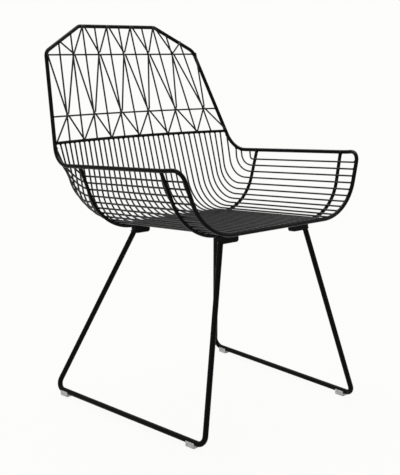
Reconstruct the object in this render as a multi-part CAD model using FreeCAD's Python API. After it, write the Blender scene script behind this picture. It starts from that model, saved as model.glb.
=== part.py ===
import FreeCAD, Part
import math
import os

from FreeCAD import Vector

# Wire armchair, millimetres. +Z is up, the sitter faces -Y and X is the width.
# The origin is on the floor, under the middle of the chair.

# Rod and wire diameters
frame_diameter = 9.0
rib_diameter = 8.0
crossbar_diameter = 7.0
wire_diameter = 4.0
base_diameter = 12.0

# Seat shell: a U section that the seat wires follow, tilted down towards the rear
seat_front_y = -272.5
seat_front_height = 436.8
seat_tilt = 3.4
seat_corner_radius = 111.0
flank_lean = 19.0
front_lean = 5.5

# Arms of the outer frame, placed from the seat's front edge
arm_corner_x = 265.8
arm_corner_rise = 140.4
arm_corner_radius = 25.0
arm_front_x = 274.0
arm_front_back = 58.5
arm_front_rise = 135.2
arm_front_radius = 150.0
arm_rear_x = 273.0
arm_rear_rise = 113.7
arm_rear_radius = 60.0

# Back of the outer frame: a flat outline that leans back from the crossbar
crossbar_end_x = 261.7
crossbar_back = 453.0
crossbar_rise = 161.0
crossbar_bow = 33.0
back_lean = 22.8
back_rise = 262.5
shoulder_x = 225.3
shoulder_drop = 59.6
shoulder_radius = 25.0
top_corner_x = 114.8
top_corner_radius = 18.0

# Ribs that carry the seat wires, placed by their distance behind the front rod
front_rib_back = 50.9
front_rib_lean = 8.0
rear_rib_back = 337.0
rear_rib_lean = 3.5

# Seat wires
wire_pitch = 16.0
crossbar_pitch = 15.45
crossbar_wires = 16
back_wire_lean = 13.0
middle_bend_radius = 100.0
bend_radius_loss = 0.14

# The four wires at each side that end on the arm: distance behind the front rod, lean and bend
arm_wire_back = [441.0, 413.0, 396.0, 365.0]
arm_wire_lean = [20.0, 20.0, 30.0, 34.0]
arm_wire_radius = [70.0, 75.0, 60.0, 18.0]

# Truss of the back
shoulder_wire_drop = 7.0
lower_wire_rise = 57.5
truss_bays = 12
top_upright_pitch = 35.9
zigzag_radius = 3.0
tip_gap = 1.4
shoulder_tip_gap = 3.4
bow_lengths = 11

# Base: two sleds of bent rod
front_foot_x = 233.5
front_foot_ahead = 18.7
rear_foot_x = 257.2
rear_foot_back = 483.2
front_leg_top_x = 127.8
rear_leg_top_x = 125.6
foot_radius = 18.0

# Brackets that join the leg tops to the ribs
front_bracket_length = 51.0
rear_bracket_length = 43.0
rear_bracket_behind = 4.0
bracket_height = 19.0
bracket_width = 14.0
bracket_corner_radius = 6.0
bracket_overhang = 6.0

# Glides clipped on the rails
glide_length = 24.0
glide_width = 15.0
glide_sole = 6.5
glide_sole_width = 7.5
glide_end_radius = 4.0
glide_from_corner = 37.0
glide_wrap = 0.55


frame_radius = frame_diameter / 2
wire_radius = wire_diameter / 2
rib_drop = (rib_diameter + wire_diameter) / 2
X = Vector(1, 0, 0)
along = Vector(0, math.cos(math.radians(seat_tilt)), -math.sin(math.radians(seat_tilt)))
above = Vector(0, math.sin(math.radians(seat_tilt)), math.cos(math.radians(seat_tilt)))
seat_origin = Vector(0, seat_front_y, seat_front_height)
rail_height = base_diameter / 2 + glide_sole
front_foot = Vector(front_foot_x, seat_front_y - front_foot_ahead, rail_height)
rear_foot = Vector(rear_foot_x, seat_front_y + rear_foot_back, rail_height)

flank_slope = math.tan(math.radians(flank_lean))
front_slope = math.tan(math.radians(front_lean))
seat_corner_turn = math.radians(90 - flank_lean)
seat_bottom_x = arm_corner_x - arm_corner_rise / math.cos(math.radians(front_lean)) * flank_slope
seat_flat_half = seat_bottom_x - seat_corner_radius * math.tan(seat_corner_turn / 2)

crossbar_height = seat_front_height + crossbar_rise
crossbar_end_y = seat_front_y + crossbar_back
top_height = crossbar_height + back_rise
shoulder_height = top_height - shoulder_drop
shoulder_wire_height = shoulder_height - shoulder_wire_drop
lower_wire_height = crossbar_height + lower_wire_rise


def unit(vector):
    return Vector(vector).normalize()


def mirrored(point):
    return Vector(-point.x, point.y, point.z)


def straight(start, end, diameter):
    """Round bar between two points."""
    return Part.makeCylinder(diameter / 2, (end - start).Length, start, end - start)


def disc(centre, normal, diameter):
    """Round face that a bend is turned from."""
    return Part.Face(Part.Wire(Part.makeCircle(diameter / 2, centre, normal)))


def bent_rod(points, radii, diameter, closed=False):
    """Rod along straight runs with a round bend at each inner corner."""
    count = len(points)
    corners = range(count) if closed else range(1, count - 1)
    pieces = []
    starts = {}
    ends = {}
    for i in corners:
        before = unit(points[i] - points[i - 1])
        after = unit(points[(i + 1) % count] - points[i])
        turn = before.getAngle(after)
        reach = radii[i] * math.tan(turn / 2)
        axis = unit(before.cross(after))
        starts[i] = points[i] - before * reach
        ends[i] = points[i] + after * reach
        centre = starts[i] + axis.cross(before) * radii[i]
        bend = disc(starts[i], before, diameter).revolve(centre, axis, math.degrees(turn))
        pieces.append(bend)
    runs = range(count) if closed else range(count - 1)
    for i in runs:
        j = (i + 1) % count
        pieces.append(straight(ends.get(i, points[i]), starts.get(j, points[j]), diameter))
    return pieces[0].multiFuse(pieces[1:]).removeSplitter()


def seat_section(length, outward=0.0):
    """Place on the U section at a length from its middle, as X and height over the flat."""
    radius = seat_corner_radius + outward
    corner = seat_corner_turn
    arc = seat_corner_radius * corner
    if length <= seat_flat_half:
        return length, -outward
    if length <= seat_flat_half + arc:
        angle = (length - seat_flat_half) / seat_corner_radius
        return seat_flat_half + radius * math.sin(angle), seat_corner_radius - radius * math.cos(angle)
    rest = length - seat_flat_half - arc
    x = seat_flat_half + radius * math.sin(corner) + rest * math.cos(corner)
    return x, seat_corner_radius - radius * math.cos(corner) + rest * math.sin(corner)


def seat_point(x, height, back, lean):
    """Point of the seat shell in a leaning section that crosses the flat at the given distance."""
    slope = math.tan(math.radians(lean - seat_tilt))
    return seat_origin + X * x + above * height + along * (back + height * slope)


def back_y(height):
    """Depth of the flat back outline at a height."""
    return crossbar_end_y + (height - crossbar_height) * math.tan(math.radians(back_lean))


def back_half_width(height):
    """Half width between the side rods of the back at a height."""
    share = (height - crossbar_height) / (shoulder_height - crossbar_height)
    return crossbar_end_x + (shoulder_x - crossbar_end_x) * share


def frame_corners():
    """Corners and bend radii of the right half of the outer frame, from the top down."""
    rear_height = seat_front_height + arm_rear_rise
    front = Vector(arm_front_x, seat_front_y + arm_front_back, seat_front_height + arm_front_rise)
    corner = Vector(arm_corner_x, seat_front_y, seat_front_height)
    corner += Vector(0, arm_corner_rise * front_slope, arm_corner_rise)
    return [
        (Vector(top_corner_x, back_y(top_height), top_height), top_corner_radius),
        (Vector(shoulder_x, back_y(shoulder_height), shoulder_height), shoulder_radius),
        (Vector(arm_rear_x, back_y(rear_height), rear_height), arm_rear_radius),
        (front, arm_front_radius),
        (corner, arm_corner_radius),
        (Vector(seat_bottom_x, seat_front_y, seat_front_height), seat_corner_radius),
    ]


def outer_frame():
    """One closed loop: top of the back, sides, arms and the front edge of the seat."""
    right = frame_corners()
    left = [(mirrored(point), radius) for point, radius in reversed(right)]
    corners = right + left
    return bent_rod([c[0] for c in corners], [c[1] for c in corners], frame_diameter, closed=True)


def arm_point(back):
    """Point on the right arm or its rear bend at a distance behind the front rod."""
    corners = frame_corners()
    shoulder, rear, front = corners[1][0], corners[2][0], corners[3][0]
    down = unit(rear - shoulder)
    forward = unit(front - rear)
    reach = arm_rear_radius * math.tan(down.getAngle(forward) / 2)
    start = rear - down * reach
    axis = unit(down.cross(forward))
    centre = start + axis.cross(down) * arm_rear_radius
    arc_end = rear + forward * reach
    if (arc_end - seat_origin).dot(along) >= back:
        run = (arc_end - seat_origin).dot(along) - back
        return arc_end + forward * (run / -forward.dot(along))
    if (start - seat_origin).dot(along) <= back:
        run = back - (start - seat_origin).dot(along)
        return start - down * (run / -down.dot(along))
    low, high = 0.0, down.getAngle(forward)
    for step in range(40):
        angle = (low + high) / 2
        turned = FreeCAD.Rotation(axis, math.degrees(angle)).multVec(start - centre) + centre
        if (turned - seat_origin).dot(along) > back:
            low = angle
        else:
            high = angle
    return turned


def bowed_bar(side, bow, diameter):
    """Level bar from an end to its mirror image, bowed to the rear and bent in equal lengths."""
    radius = (side.x ** 2 + bow ** 2) / (2 * bow)
    centre = Vector(0, side.y + bow - radius, side.z)
    half_angle = math.asin(side.x / radius)
    step = 2 * half_angle / bow_lengths
    pieces = []
    for i in range(bow_lengths):
        angle = half_angle - i * step
        outward = Vector(math.sin(angle), math.cos(angle), 0)
        face = disc(centre + outward * radius, Vector(-outward.y, outward.x, 0), diameter)
        pieces.append(face.revolve(centre, Vector(0, 0, 1), math.degrees(step)))
    return pieces[0].multiFuse(pieces[1:])


def crossbar_point(x):
    """Point on the crossbar's centre line, a level arc that bows to the rear."""
    radius = (crossbar_end_x ** 2 + crossbar_bow ** 2) / (2 * crossbar_bow)
    y = crossbar_end_y + crossbar_bow - radius + math.sqrt(radius ** 2 - x ** 2)
    return Vector(x, y, crossbar_height)


def crossbar(frame):
    """Bowed bar across the foot of the back, coped to the side rods."""
    return bowed_bar(crossbar_point(crossbar_end_x), crossbar_bow, crossbar_diameter).cut(frame)


def rib(back, lean, frame):
    """U rib under the seat wires, coped to both arms."""
    top_length = seat_flat_half + seat_corner_radius * (seat_corner_turn + 2)
    top_x, top_over = seat_section(top_length, rib_drop)
    arm_over = (arm_point(back) - seat_origin).dot(above)
    top = seat_point(top_x - (top_over - arm_over) * flank_slope, arm_over, back, lean)
    radius = seat_corner_radius + rib_drop
    turn_x = seat_flat_half + radius * math.tan(seat_corner_turn / 2)
    turn = seat_point(turn_x, -rib_drop, back, lean)
    points = [mirrored(top), mirrored(turn), turn, top]
    return bent_rod(points, [0, radius, radius, 0], rib_diameter).cut(frame)


def seat_wire(index, frame):
    """One long wire: along the seat or arm, then up to the crossbar or the arm's rear bend."""
    side = -1 if index < 0 else 1
    number = abs(index)
    x, height = seat_section(number * wire_pitch)
    front_back = height * math.tan(math.radians(front_lean - seat_tilt))
    base = seat_origin + X * x + above * height
    if number <= crossbar_wires:
        end = crossbar_point(number * crossbar_pitch)
        lean = back_wire_lean
        radius = middle_bend_radius - bend_radius_loss * number ** 2
    else:
        order = number - crossbar_wires - 1
        end = arm_point(arm_wire_back[order])
        lean = arm_wire_lean[order]
        radius = arm_wire_radius[order]
    offset = end - base
    rise = (offset - along * offset.dot(along)).Length
    corner = base + along * (offset.dot(along) - rise * math.tan(math.radians(lean)))
    start = base + along * (front_back + frame_radius)
    if number <= crossbar_wires:
        end = end + unit(corner - end) * (crossbar_diameter / 2)
    points = [start, corner, end]
    if side < 0:
        points = [mirrored(point) for point in points]
    wire = bent_rod(points, [0, radius, 0], wire_diameter)
    return wire if number <= crossbar_wires else wire.cut(frame)


def truss_point(column, height, forward=0.0):
    """Point on the back's wire surface; column counts half bays from the middle."""
    share = (top_height - height) / (top_height - crossbar_height)
    pitch = top_upright_pitch + (crossbar_end_x / (truss_bays / 2) - top_upright_pitch) * share
    x = column * pitch
    span = back_half_width(height) if height < shoulder_height else shoulder_x
    bow = crossbar_bow * share * (1 - min(1.0, (x / span) ** 2))
    lean = math.radians(back_lean)
    return Vector(x, back_y(height) + bow - forward * math.cos(lean), height + forward * math.sin(lean))


def cross_wire(height, frame):
    """Bowed wire across the back, coped to the side rods."""
    side = Vector(back_half_width(height), back_y(height), height)
    bow = truss_point(0, height).y - side.y
    return bowed_bar(side, bow, wire_diameter).cut(frame)


def chamfer_height(x):
    """Height of the frame's top outline at a width."""
    if x <= top_corner_x:
        return top_height
    share = (x - top_corner_x) / (shoulder_x - top_corner_x)
    return top_height + (shoulder_height - top_height) * share


def upright(column, frame, bar):
    """Straight wire in front of the cross wires, from the frame's top outline to the crossbar."""
    height = top_height
    for step in range(20):
        height = chamfer_height(abs(truss_point(column, height).x))
    top = truss_point(column, height, wire_diameter)
    bottom = truss_point(column, crossbar_height, wire_diameter)
    return straight(bottom, top, wire_diameter).cut(frame).cut(bar)


def zigzag(columns, heights):
    """Wire bent to and fro in front of the uprights, with its tips just short of their heights."""
    run = crossbar_end_x / (truss_bays / 2)
    overshoot = zigzag_radius * (math.hypot(run, heights[5] - heights[6]) / run - 1)
    points = []
    for column, height in zip(columns, heights):
        inner = columns[0] < column < columns[-1]
        on_side_rod = abs(column) == truss_bays / 2
        end_over = 0 if on_side_rod else -wire_diameter
        gap = shoulder_tip_gap if height == shoulder_wire_height else tip_gap
        reach = overshoot - gap / 2
        over = end_over if not inner else reach if height > min(heights) else -reach
        depth = frame_radius + wire_radius if on_side_rod else 2 * wire_diameter
        points.append(truss_point(column, height + over, depth))
    return bent_rod(points, [zigzag_radius] * len(points), wire_diameter)


def upper_zigzag():
    """Zigzag between the top outline and the shoulder wire."""
    columns = list(range(-5, 6))
    outline = [chamfer_height(abs(c) * top_upright_pitch) for c in columns]
    heights = [high if c % 2 else shoulder_wire_height for c, high in zip(columns, outline)]
    return zigzag(columns, heights)


def middle_zigzag():
    """Zigzag between the shoulder wire and the lower wire."""
    columns = list(range(-6, 7))
    return zigzag(columns, [lower_wire_height if c % 2 else shoulder_wire_height for c in columns])


def lower_zigzag():
    """Zigzag between the lower wire and the crossbar."""
    columns = list(range(-6, 7))
    return zigzag(columns, [lower_wire_height if c % 2 else crossbar_height for c in columns])


def bracket(leg_x, length, under_rib, carried):
    """Rounded block on the top of a right-hand leg, with the lower half of the rib let into it."""
    outer = leg_x + bracket_overhang
    corner = under_rib - along * (bracket_width / 2) - above * bracket_height
    block = Part.makeBox(length, bracket_width, bracket_height)
    lower = [e for e in block.Edges if e.BoundBox.ZMax < 0.01 and e.BoundBox.XLength < 0.01]
    block = block.makeFillet(bracket_corner_radius, lower)
    block.rotate(Vector(0, 0, 0), X, -seat_tilt)
    block.translate(corner + X * (outer - length))
    return block.cut(carried)


def sled(front_under_rib, rear_under_rib, front_bracket, rear_bracket):
    """Right-hand sled: front leg, rail and rear leg from one bent rod."""
    middle = above * (-bracket_height / 2)
    front_top = front_under_rib + middle + X * front_leg_top_x
    rear_top = rear_under_rib + middle + X * rear_leg_top_x
    points = [front_top, front_foot, rear_foot, rear_top]
    rod = bent_rod(points, [0, foot_radius, foot_radius, 0], base_diameter)
    return rod.cut(front_bracket).cut(rear_bracket)


def glide(corner, towards):
    """Moulded saddle that grips a rail from below and stands on the floor with a flat sole."""
    direction = unit(towards - corner)
    start = corner + direction * (glide_from_corner - glide_length / 2)
    body = Part.makeCylinder(math.hypot(rail_height, glide_sole_width / 2), glide_length, start, direction)
    bore = Part.makeCylinder(base_diameter / 2, glide_length, start, direction)
    block = Part.makeBox(glide_width, glide_length, glide_sole + base_diameter * glide_wrap)
    ends = [e for e in block.Edges if e.BoundBox.ZMax < 0.01 and e.BoundBox.YLength < 0.01]
    block = block.makeFillet(glide_end_radius, ends)
    block.translate(Vector(-glide_width / 2, 0, 0))
    block.rotate(Vector(0, 0, 0), Vector(0, 0, 1), -math.degrees(math.atan2(direction.x, direction.y)))
    block.translate(Vector(start.x, start.y, 0))
    return block.common(body).cut(bore)


os.makedirs("parts", exist_ok=True)


def save(shape, node):
    shape.exportStep("parts/" + node + ".step")


frame = outer_frame()
bar = crossbar(frame)
save(frame, "outer_frame")
save(bar, "crossbar")
front_rib = rib(front_rib_back, front_rib_lean, frame)
rear_rib = rib(rear_rib_back, rear_rib_lean, frame)
save(front_rib, "front_rib")
save(rear_rib, "rear_rib")

side_wires = crossbar_wires + len(arm_wire_back)
for index in range(-side_wires, side_wires + 1):
    save(seat_wire(index, frame), "seat_wire_%02d" % (index + side_wires + 1))

save(cross_wire(shoulder_wire_height, frame), "shoulder_wire")
save(cross_wire(lower_wire_height, frame), "lower_wire")
outermost = truss_bays // 2 - 1
uprights = [upright(column, frame, bar) for column in range(-outermost, outermost + 1)]
save(Part.makeCompound(uprights), "back_uprights")
save(upper_zigzag(), "upper_zigzag")
save(middle_zigzag(), "middle_zigzag")
save(lower_zigzag(), "lower_zigzag")

origin = Vector(0, 0, 0)
front_under_rib = seat_point(0, -rib_drop, front_rib_back, front_rib_lean)
rear_under_rib = seat_point(0, -rib_drop, rear_rib_back, rear_rib_lean) + along * rear_bracket_behind
front_block = bracket(front_leg_top_x, front_bracket_length, front_under_rib, front_rib)
rear_block = bracket(rear_leg_top_x, rear_bracket_length, rear_under_rib, rear_rib)
right_sled = sled(front_under_rib, rear_under_rib, front_block, rear_block)
front_glide = glide(front_foot, rear_foot)
rear_glide = glide(rear_foot, front_foot)
save(right_sled, "right_sled")
save(right_sled.mirror(origin, X), "left_sled")
for name, block in (("front", front_block), ("rear", rear_block)):
    save(block, "right_" + name + "_bracket")
    save(block.mirror(origin, X), "left_" + name + "_bracket")
glides = [front_glide, rear_glide, front_glide.mirror(origin, X), rear_glide.mirror(origin, X)]
save(Part.makeCompound(glides), "glides")
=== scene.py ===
import math
import random

import bmesh
import bpy
from mathutils import Matrix, Vector
from mathutils.bvhtree import BVHTree


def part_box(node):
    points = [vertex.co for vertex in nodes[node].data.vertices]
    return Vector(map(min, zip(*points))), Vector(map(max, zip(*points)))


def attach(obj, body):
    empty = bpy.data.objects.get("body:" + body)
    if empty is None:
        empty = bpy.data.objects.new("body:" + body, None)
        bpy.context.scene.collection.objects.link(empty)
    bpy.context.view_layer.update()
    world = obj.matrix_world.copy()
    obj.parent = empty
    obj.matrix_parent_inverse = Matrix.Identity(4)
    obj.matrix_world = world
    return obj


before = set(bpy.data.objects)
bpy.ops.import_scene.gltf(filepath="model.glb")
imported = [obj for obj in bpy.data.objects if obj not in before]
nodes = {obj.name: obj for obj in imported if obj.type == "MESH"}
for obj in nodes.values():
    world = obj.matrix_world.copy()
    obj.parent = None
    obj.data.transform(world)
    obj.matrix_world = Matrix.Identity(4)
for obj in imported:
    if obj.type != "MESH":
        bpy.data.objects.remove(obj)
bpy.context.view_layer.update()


# Outer frame: one closed loop of 9 mm steel bar round the back, the arms and the seat's front edge.
# It is bent, butt welded and powder coated black. The coat has a fine orange peel and a low sheen.
class Signal:
    """A shader socket that takes arithmetic."""

    def __init__(self, socket):
        self.socket = socket

    def node(self, kind, settings, inputs, output=0):
        """Adds a node with its settings and inputs, and returns one of its outputs."""
        tree = self.socket.id_data
        made = tree.nodes.new(kind)
        for name, value in settings.items():
            setattr(made, name, value)
        for name, value in inputs.items():
            if isinstance(value, Signal):
                tree.links.new(value.socket, made.inputs[name])
            else:
                made.inputs[name].default_value = value
        return Signal(made.outputs[output])

    def maths(self, operation, first, second):
        return self.node("ShaderNodeMath", {"operation": operation}, {0: first, 1: second})

    def __add__(self, other):
        return self.maths("ADD", self, other)

    def __radd__(self, other):
        return self.maths("ADD", other, self)

    def __sub__(self, other):
        return self.maths("SUBTRACT", self, other)

    def __rsub__(self, other):
        return self.maths("SUBTRACT", other, self)

    def __mul__(self, other):
        return self.maths("MULTIPLY", self, other)

    def __rmul__(self, other):
        return self.maths("MULTIPLY", other, self)

    def __pow__(self, other):
        return self.maths("POWER", self, other)

    def clamped(self, low, high):
        limits = {"Value": self, "Min": low, "Max": high}
        return self.node("ShaderNodeClamp", {}, limits)

    def upward(self):
        """The part of this place or direction that points up."""
        return self.node("ShaderNodeSeparateXYZ", {}, {"Vector": self}, "Z")

    def noise(self, per_metre, detail, roughness):
        """Cloudy noise at this place, with a number of clouds to the metre."""
        inputs = {"Vector": self, "Scale": per_metre, "Detail": detail, "Roughness": roughness}
        return self.node("ShaderNodeTexNoise", {}, inputs)

    def blend(self, first, second):
        """Goes from one colour to another as this signal goes from 0 to 1."""
        # The colours of a Mix node are its inputs 6 and 7, and its output 2.
        inputs = {"Factor": self, 6: (*first, 1.0), 7: (*second, 1.0)}
        return self.node("ShaderNodeMix", {"data_type": "RGBA"}, inputs, 2)

    def bump(self, strength, depth):
        """The surface's direction when this signal is its relief."""
        return self.node("ShaderNodeBump", {}, {"Height": self, "Strength": strength, "Distance": depth})

    def into(self, name):
        """Links this signal to an input of the surface shader."""
        tree = self.socket.id_data
        tree.links.new(self.socket, tree.nodes["Principled BSDF"].inputs[name])


def new_finish(name, base_color, roughness, specular):
    """Starts a material and returns it with its surface position as a signal."""
    finish = bpy.data.materials.new(name)
    finish.use_nodes = True
    shader = finish.node_tree.nodes["Principled BSDF"]
    shader.inputs["Base Color"].default_value = (*base_color, 1.0)
    shader.inputs["Roughness"].default_value = roughness
    shader.inputs["Specular IOR Level"].default_value = specular
    place = Signal(finish.node_tree.nodes.new("ShaderNodeTexCoord").outputs["Object"])
    return finish, place


def powder_coat(name, grey, roughness, specular, peel_size, peel_depth):
    """Black powder coat: a fine orange peel, a faint cloud in the sheen, and on what faces up dust with a
    lighter tint that is partly painted top light.
    """
    tint = (grey, grey, 1.04 * grey)
    # What faces up is tinted lighter: partly dust, partly painted light from above.
    dust_and_top_light_tint = tuple(3.2 * channel + 0.001 for channel in tint)
    cloud_change, dust_change = 0.16, 0.10
    finish, place = new_finish(name, tint, roughness, specular)
    peel = place.noise(1 / peel_size, detail=2.0, roughness=0.5)
    cloud = place.noise(24.0, detail=4.0, roughness=0.6)
    facing = Signal(finish.node_tree.nodes.new("ShaderNodeNewGeometry").outputs["Normal"])
    # This mask of what faces up raises the roughness as dust, and lightens the tint as dust and painted
    # top light.
    dust_and_top_light = (facing.upward().clamped(0.0, 1.0) ** 3) * cloud
    (roughness + cloud_change * (cloud - 0.5) + dust_change * dust_and_top_light).into("Roughness")
    (0.8 * dust_and_top_light).blend(tint, dust_and_top_light_tint).into("Base Color")
    peel.bump(strength=0.35, depth=peel_depth).into("Normal")
    return finish


def dress(node, finish):
    """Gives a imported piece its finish."""
    piece = nodes[node]
    piece.data.materials.clear()
    piece.data.materials.append(finish)


frame_coat = powder_coat("frame_powder_coat", 0.0012, 0.22, 0.08, peel_size=0.0016, peel_depth=0.00006)
dress("outer_frame", frame_coat)

# Crossbar and ribs: a 7 mm bar bowed across the foot of the back, and two 8 mm U ribs under the seat.
# They are coped and welded to the frame before coating, so they carry the same black coat.
for node in ("crossbar", "front_rib", "rear_rib"):
    dress(node, frame_coat)

# Seat wires: 41 long wires of 4 mm steel, welded across the two ribs and coated black.
# They run back from the frame's front edge and turn up to the crossbar, or at the sides to an arm.
# Their coat is thin and a little duller than the frame's, and its lighter grey is painted light from above
# on the same black coat.
# The wires' grey, three times the frame's, is painted light from above.
wire_coat_painted_lighter = powder_coat("wire_powder_coat_painted_lighter", 0.0036, 0.34, 0.28, peel_size=0.0012, peel_depth=0.00005)
seat_wires = sorted(node for node in nodes if node.startswith("seat_wire_"))
for node in seat_wires:
    dress(node, wire_coat_painted_lighter)

# Back wires: two bowed cross wires, eleven straight uprights in front of them, and three zigzags on those.
# They are resistance welded where they cross, which makes the triangles of the back.
cross_wires = ("lower_wire", "shoulder_wire")
zigzags = ("upper_zigzag", "middle_zigzag", "lower_zigzag")
for node in ("back_uprights", *cross_wires, *zigzags):
    dress(node, wire_coat_painted_lighter)

# Sleds: each is a leg, a rail and a leg bent from one 12 mm steel bar.
# They are powder coated black. The coat is thicker here, so it is duller and its peel is larger.
base_coat = powder_coat("base_powder_coat", 0.0012, 0.40, 0.07, peel_size=0.0020, peel_depth=0.00012)
for node in ("left_sled", "right_sled"):
    dress(node, base_coat)

# Brackets: four short rounded steel blocks on the leg tops, one at each end of each sled.
# Each rib is let into two of them. They are coated together with the sleds.
for node in ("left_front_bracket", "left_rear_bracket", "right_front_bracket", "right_rear_bracket"):
    dress(node, base_coat)

# Welds: small beads where wires and rods meet, and a flat bead where each leg enters its bracket.
# They are laid before coating, so they carry the same black coat, each a little uneven.
# A bead is given by its half sizes in metres: two across it, and the last along its direction.
chance = random.Random(7)
surfaces = {}


def surface(node):
    """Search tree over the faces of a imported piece."""
    if node not in surfaces:
        mesh = nodes[node].data
        corners = [vertex.co.copy() for vertex in mesh.vertices]
        faces = [tuple(face.vertices) for face in mesh.polygons]
        surfaces[node] = BVHTree.FromPolygons(corners, faces)
    return surfaces[node]


def mean(places):
    return sum(places, Vector()) / len(places)


def contacts(node, other, reach):
    """Middles of the groups of a piece's corners that lie within reach of another piece."""
    group_size = 0.016
    groups = []
    for vertex in nodes[node].data.vertices:
        if surface(other).find_nearest(vertex.co, reach)[0] is None:
            continue
        for group in groups:
            if (group[0] - vertex.co).length < group_size:
                group.append(vertex.co.copy())
                break
        else:
            groups.append([vertex.co.copy()])
    return [mean(group) for group in groups]


def loose_parts(node):
    """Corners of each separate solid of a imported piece."""
    mesh = nodes[node].data
    faces = [{mesh.vertices[i].co.to_tuple(6) for i in face.vertices} for face in mesh.polygons]
    merged = []
    for part in faces:
        apart = []
        for other in merged:
            if other & part:
                part = part | other
            else:
                apart.append(other)
        merged = apart + [part]
    return [[Vector(place) for place in part] for part in merged]


def beads(name, spots):
    """One piece with a weld bead for each spot: a place, a direction and three half sizes."""
    least, most = 0.9, 1.12
    shape = bmesh.new()
    for place, direction, half_sizes in spots:
        turn = direction.to_track_quat("Z", "Y").to_matrix().to_4x4()
        uneven = [half * chance.uniform(least, most) for half in half_sizes]
        lie = Matrix.Translation(place) @ turn @ Matrix.Diagonal((*uneven, 1.0))
        bmesh.ops.create_icosphere(shape, subdivisions=2, radius=1.0, matrix=lie)
    mesh = bpy.data.meshes.new(name)
    shape.to_mesh(mesh)
    shape.free()
    mesh.shade_smooth()
    mesh.materials.append(frame_coat)
    piece = bpy.data.objects.new(name, mesh)
    bpy.context.scene.collection.objects.link(piece)
    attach(piece, "root")


# The ribs are looked for in millimetre steps along each wire's flat run.
seat_tilt = math.radians(3.4)
along_seat = Vector((0.0, math.cos(seat_tilt), -math.sin(seat_tilt)))
step_length = 0.001
rib_steps = range(20, 380)
rib_reach = 0.02
front_end_depth = 0.0008
rear_end_depth = 0.0012
rear_reach = 0.006
wire_bead = (0.0029, 0.0029, 0.0022)
rib_bead = (0.0024, 0.0024, 0.0014)
front_spots = []
rear_spots = []
rib_spots = []
for node in seat_wires:
    corners = [vertex.co.copy() for vertex in nodes[node].data.vertices]
    front_y = min(corner.y for corner in corners)
    top_z = max(corner.z for corner in corners)
    front_end = mean([corner for corner in corners if corner.y < front_y + front_end_depth])
    rear_end = mean([corner for corner in corners if corner.z > top_z - rear_end_depth])
    front_spots.append((front_end, along_seat, wire_bead))
    for rod in ("crossbar", "outer_frame"):
        touch, outward, _, _ = surface(rod).find_nearest(rear_end, rear_reach)
        if touch is not None:
            rear_spots.append(((touch + rear_end) / 2, outward, wire_bead))
            break
    for rib in ("front_rib", "rear_rib"):
        near = []
        for step in rib_steps:
            place = front_end + along_seat * (step_length * step)
            touch, _, _, gap = surface(rib).find_nearest(place, rib_reach)
            if touch is not None:
                near.append((gap, touch, place))
        if near:
            _, touch, place = min(near, key=lambda entry: entry[0])
            rib_spots.append((touch, touch - place, rib_bead))
beads("front_rod_welds", front_spots)
beads("rear_wire_welds", rear_spots)
beads("rib_welds", rib_spots)

upright_end_depth = 0.004
head_inset = 0.001
truss_reach = 0.0042
crossing_bead = (0.0026, 0.0026, 0.0020)
zigzag_bead = (0.0034, 0.0034, 0.0026)
truss_spots = []
for corners in loose_parts("back_uprights"):
    low = min(corner.z for corner in corners)
    high = max(corner.z for corner in corners)
    foot = mean([corner for corner in corners if corner.z < low + upright_end_depth])
    head = mean([corner for corner in corners if corner.z > high - upright_end_depth])
    run = (head - foot).normalized()
    a_little = run * 1e-5
    levels = [foot.z, head.z - head_inset]
    for node in cross_wires:
        levels.append(mean([Vector(corner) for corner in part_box(node)]).z)
    for level in levels:
        place = foot + run * ((level - foot.z) / run.z)
        for node in ("outer_frame", "crossbar", *cross_wires, *zigzags):
            touch = surface(node).find_nearest(place, truss_reach)[0]
            if touch is not None:
                bead = zigzag_bead if node in zigzags else crossing_bead
                truss_spots.append(((place + touch) / 2, touch - place + a_little, bead))
beads("truss_welds", truss_spots)

rod_reach = 0.0004
rod_weld_depth = 0.0022
across_and_up = Vector((1.0, 0.0, 0.4))
back_wire_reach = 0.0012
back_wire_bead = (0.0027, 0.0027, 0.0022)
across = Vector((1.0, 0.0, 0.0))
rod_spots = []
for node, half_size in (("crossbar", 0.0046), ("front_rib", 0.0051), ("rear_rib", 0.0051)):
    for place in contacts(node, "outer_frame", rod_reach):
        rod_spots.append((place, across_and_up, (half_size, half_size, rod_weld_depth)))
for node in ("shoulder_wire", "lower_wire", *zigzags):
    for place in contacts(node, "outer_frame", back_wire_reach):
        rod_spots.append((place, across, back_wire_bead))
beads("side_rod_welds", rod_spots)

leg_reach = 0.0003
leg_bead = (0.0078, 0.0078, 0.0028)
upright = Vector((0.0, 0.0, 1.0))
leg_spots = []
for side in ("left", "right"):
    for end in ("front", "rear"):
        for place in contacts(side + "_sled", side + "_" + end + "_bracket", leg_reach):
            leg_spots.append((place, upright, leg_bead))
beads("leg_welds", leg_spots)

# Glides: four saddles of milky grey plastic that clip on the rails and keep the steel off the floor.
# The plastic is moulded, lets a little light in and is scuffed towards the sole.
glide_tint = (0.50, 0.50, 0.49)
darker_tint, lighter_tint = (0.42, 0.42, 0.41), (0.58, 0.58, 0.57)
scuff_top = 0.003
light_depth = 0.006
glide_plastic, glide_place = new_finish("glide_plastic", glide_tint, 0.42, 0.4)
glide_shader = glide_plastic.node_tree.nodes["Principled BSDF"]
glide_shader.inputs["Subsurface Weight"].default_value = 0.5
glide_shader.inputs["Subsurface Radius"].default_value = (light_depth, light_depth, light_depth)
glide_shader.inputs["Subsurface Scale"].default_value = 1.0
haze = glide_place.noise(140.0, detail=3.0, roughness=0.55)
scuff = (1 - glide_place.upward() * (1 / scuff_top)).clamped(0.0, 1.0) * haze
haze.blend(darker_tint, lighter_tint).into("Base Color")
(0.38 + 0.35 * scuff).into("Roughness")
haze.bump(strength=0.15, depth=0.0002).into("Normal")
dress("glides", glide_plastic)

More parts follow.
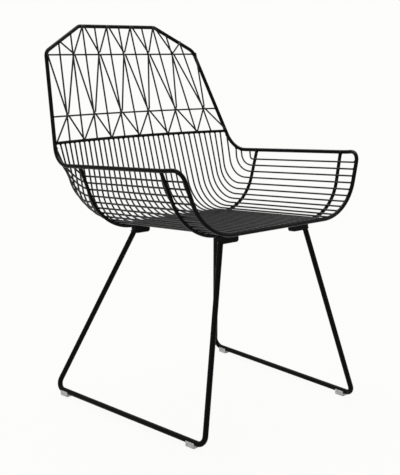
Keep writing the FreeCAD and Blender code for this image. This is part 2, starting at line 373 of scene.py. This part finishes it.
# Room: a plain pale floor that keeps a faint shadow near the chair, and a white surround.
# A large soft lamp hangs above and behind the chair, with two weaker ones at the sides.
floor_reach = 20.0
floor_corners = [(floor_reach * x, floor_reach * y, 0) for x, y in ((-1, -1), (1, -1), (1, 1), (-1, 1))]
floor_mesh = bpy.data.meshes.new("floor")
floor_mesh.from_pydata(floor_corners, [], [(0, 1, 2, 3)])
floor = bpy.data.objects.new("floor", floor_mesh)
bpy.context.scene.collection.objects.link(floor)
floor_paint, floor_place = new_finish("floor_paint", (0.80, 0.80, 0.80), 0.9, 0.1)
floor_tree = floor_paint.node_tree


def rays_that_see_white(tree):
    """One for rays that show the white surround: to the camera, through something, and some reflected."""
    path = tree.nodes.new("ShaderNodeLightPath")
    straight, through, reflected = (
        Signal(path.outputs[name]) for name in ("Is Camera Ray", "Is Transmission Ray", "Is Glossy Ray")
    )
    return (straight + through + 0.2 * reflected).clamped(0.0, 1.0)


shadow_strength = 0.06
shadow_fade = 0.8
seen = rays_that_see_white(floor_tree)
white = Signal(floor_tree.nodes.new("ShaderNodeEmission").outputs[0])
white.socket.node.inputs["Color"].default_value = (0.98, 0.98, 0.97, 1.0)
paint = Signal(floor_tree.nodes["Principled BSDF"].outputs[0])
distance = floor_place.node("ShaderNodeVectorMath", {"operation": "LENGTH"}, {0: floor_place}, "Value")
shadow_share = shadow_strength * (1 - distance * shadow_fade).clamped(0.0, 1.0)
floor_look = seen.node("ShaderNodeMixShader", {}, {0: seen * (1 - shadow_share), 1: paint, 2: white})
floor_tree.links.new(floor_look.socket, floor_tree.nodes["Material Output"].inputs["Surface"])
floor_mesh.materials.append(floor_paint)

room_level = 0.50
white_level = 0.98
world = bpy.data.worlds.new("studio")
world.use_nodes = True
bpy.context.scene.world = world
sky = world.node_tree.nodes["Background"]
level = room_level + (white_level - room_level) * rays_that_see_white(world.node_tree)
world.node_tree.links.new(level.socket, sky.inputs["Strength"])
sky.inputs["Color"].default_value = (1.0, 1.0, 0.99, 1.0)


def soft_lamp(name, place, aim, size, power):
    """Square area lamp that faces a point of the chair."""
    data = bpy.data.lights.new(name, "AREA")
    data.shape = "SQUARE"
    data.size = size
    data.energy = power
    lamp = bpy.data.objects.new(name, data)
    lamp.location = place
    lamp.rotation_euler = (Vector(aim) - Vector(place)).to_track_quat("-Z", "Y").to_euler()
    bpy.context.scene.collection.objects.link(lamp)


chair_middle = (0.0, 0.0, 0.45)
soft_lamp("overhead_lamp", (0.5, 0.9, 2.8), chair_middle, size=2.4, power=70.0)
soft_lamp("left_lamp", (-3.2, -0.6, 2.0), chair_middle, size=1.6, power=18.0)
soft_lamp("right_lamp", (2.6, -2.4, 2.2), chair_middle, size=1.6, power=15.0)

# Camera: where the photograph was taken from, at the left of the front and just below the back's top.
# It looks down a little, and its place and lens make the chair fill the frame as it does there.
downward = math.radians(10.857)
towards_right = math.radians(41.716)
camera_data = bpy.data.cameras.new("camera")
camera_data.lens = 74.26
camera_data.sensor_width = 36.0
camera = bpy.data.objects.new("camera", camera_data)
camera.location = (-1.4889, -1.6853, 0.8055)
camera.rotation_euler = (math.pi / 2 - downward, 0.0, -towards_right)
bpy.context.scene.collection.objects.link(camera)
bpy.context.scene.camera = camera
bpy.context.scene.view_settings.view_transform = "Standard"
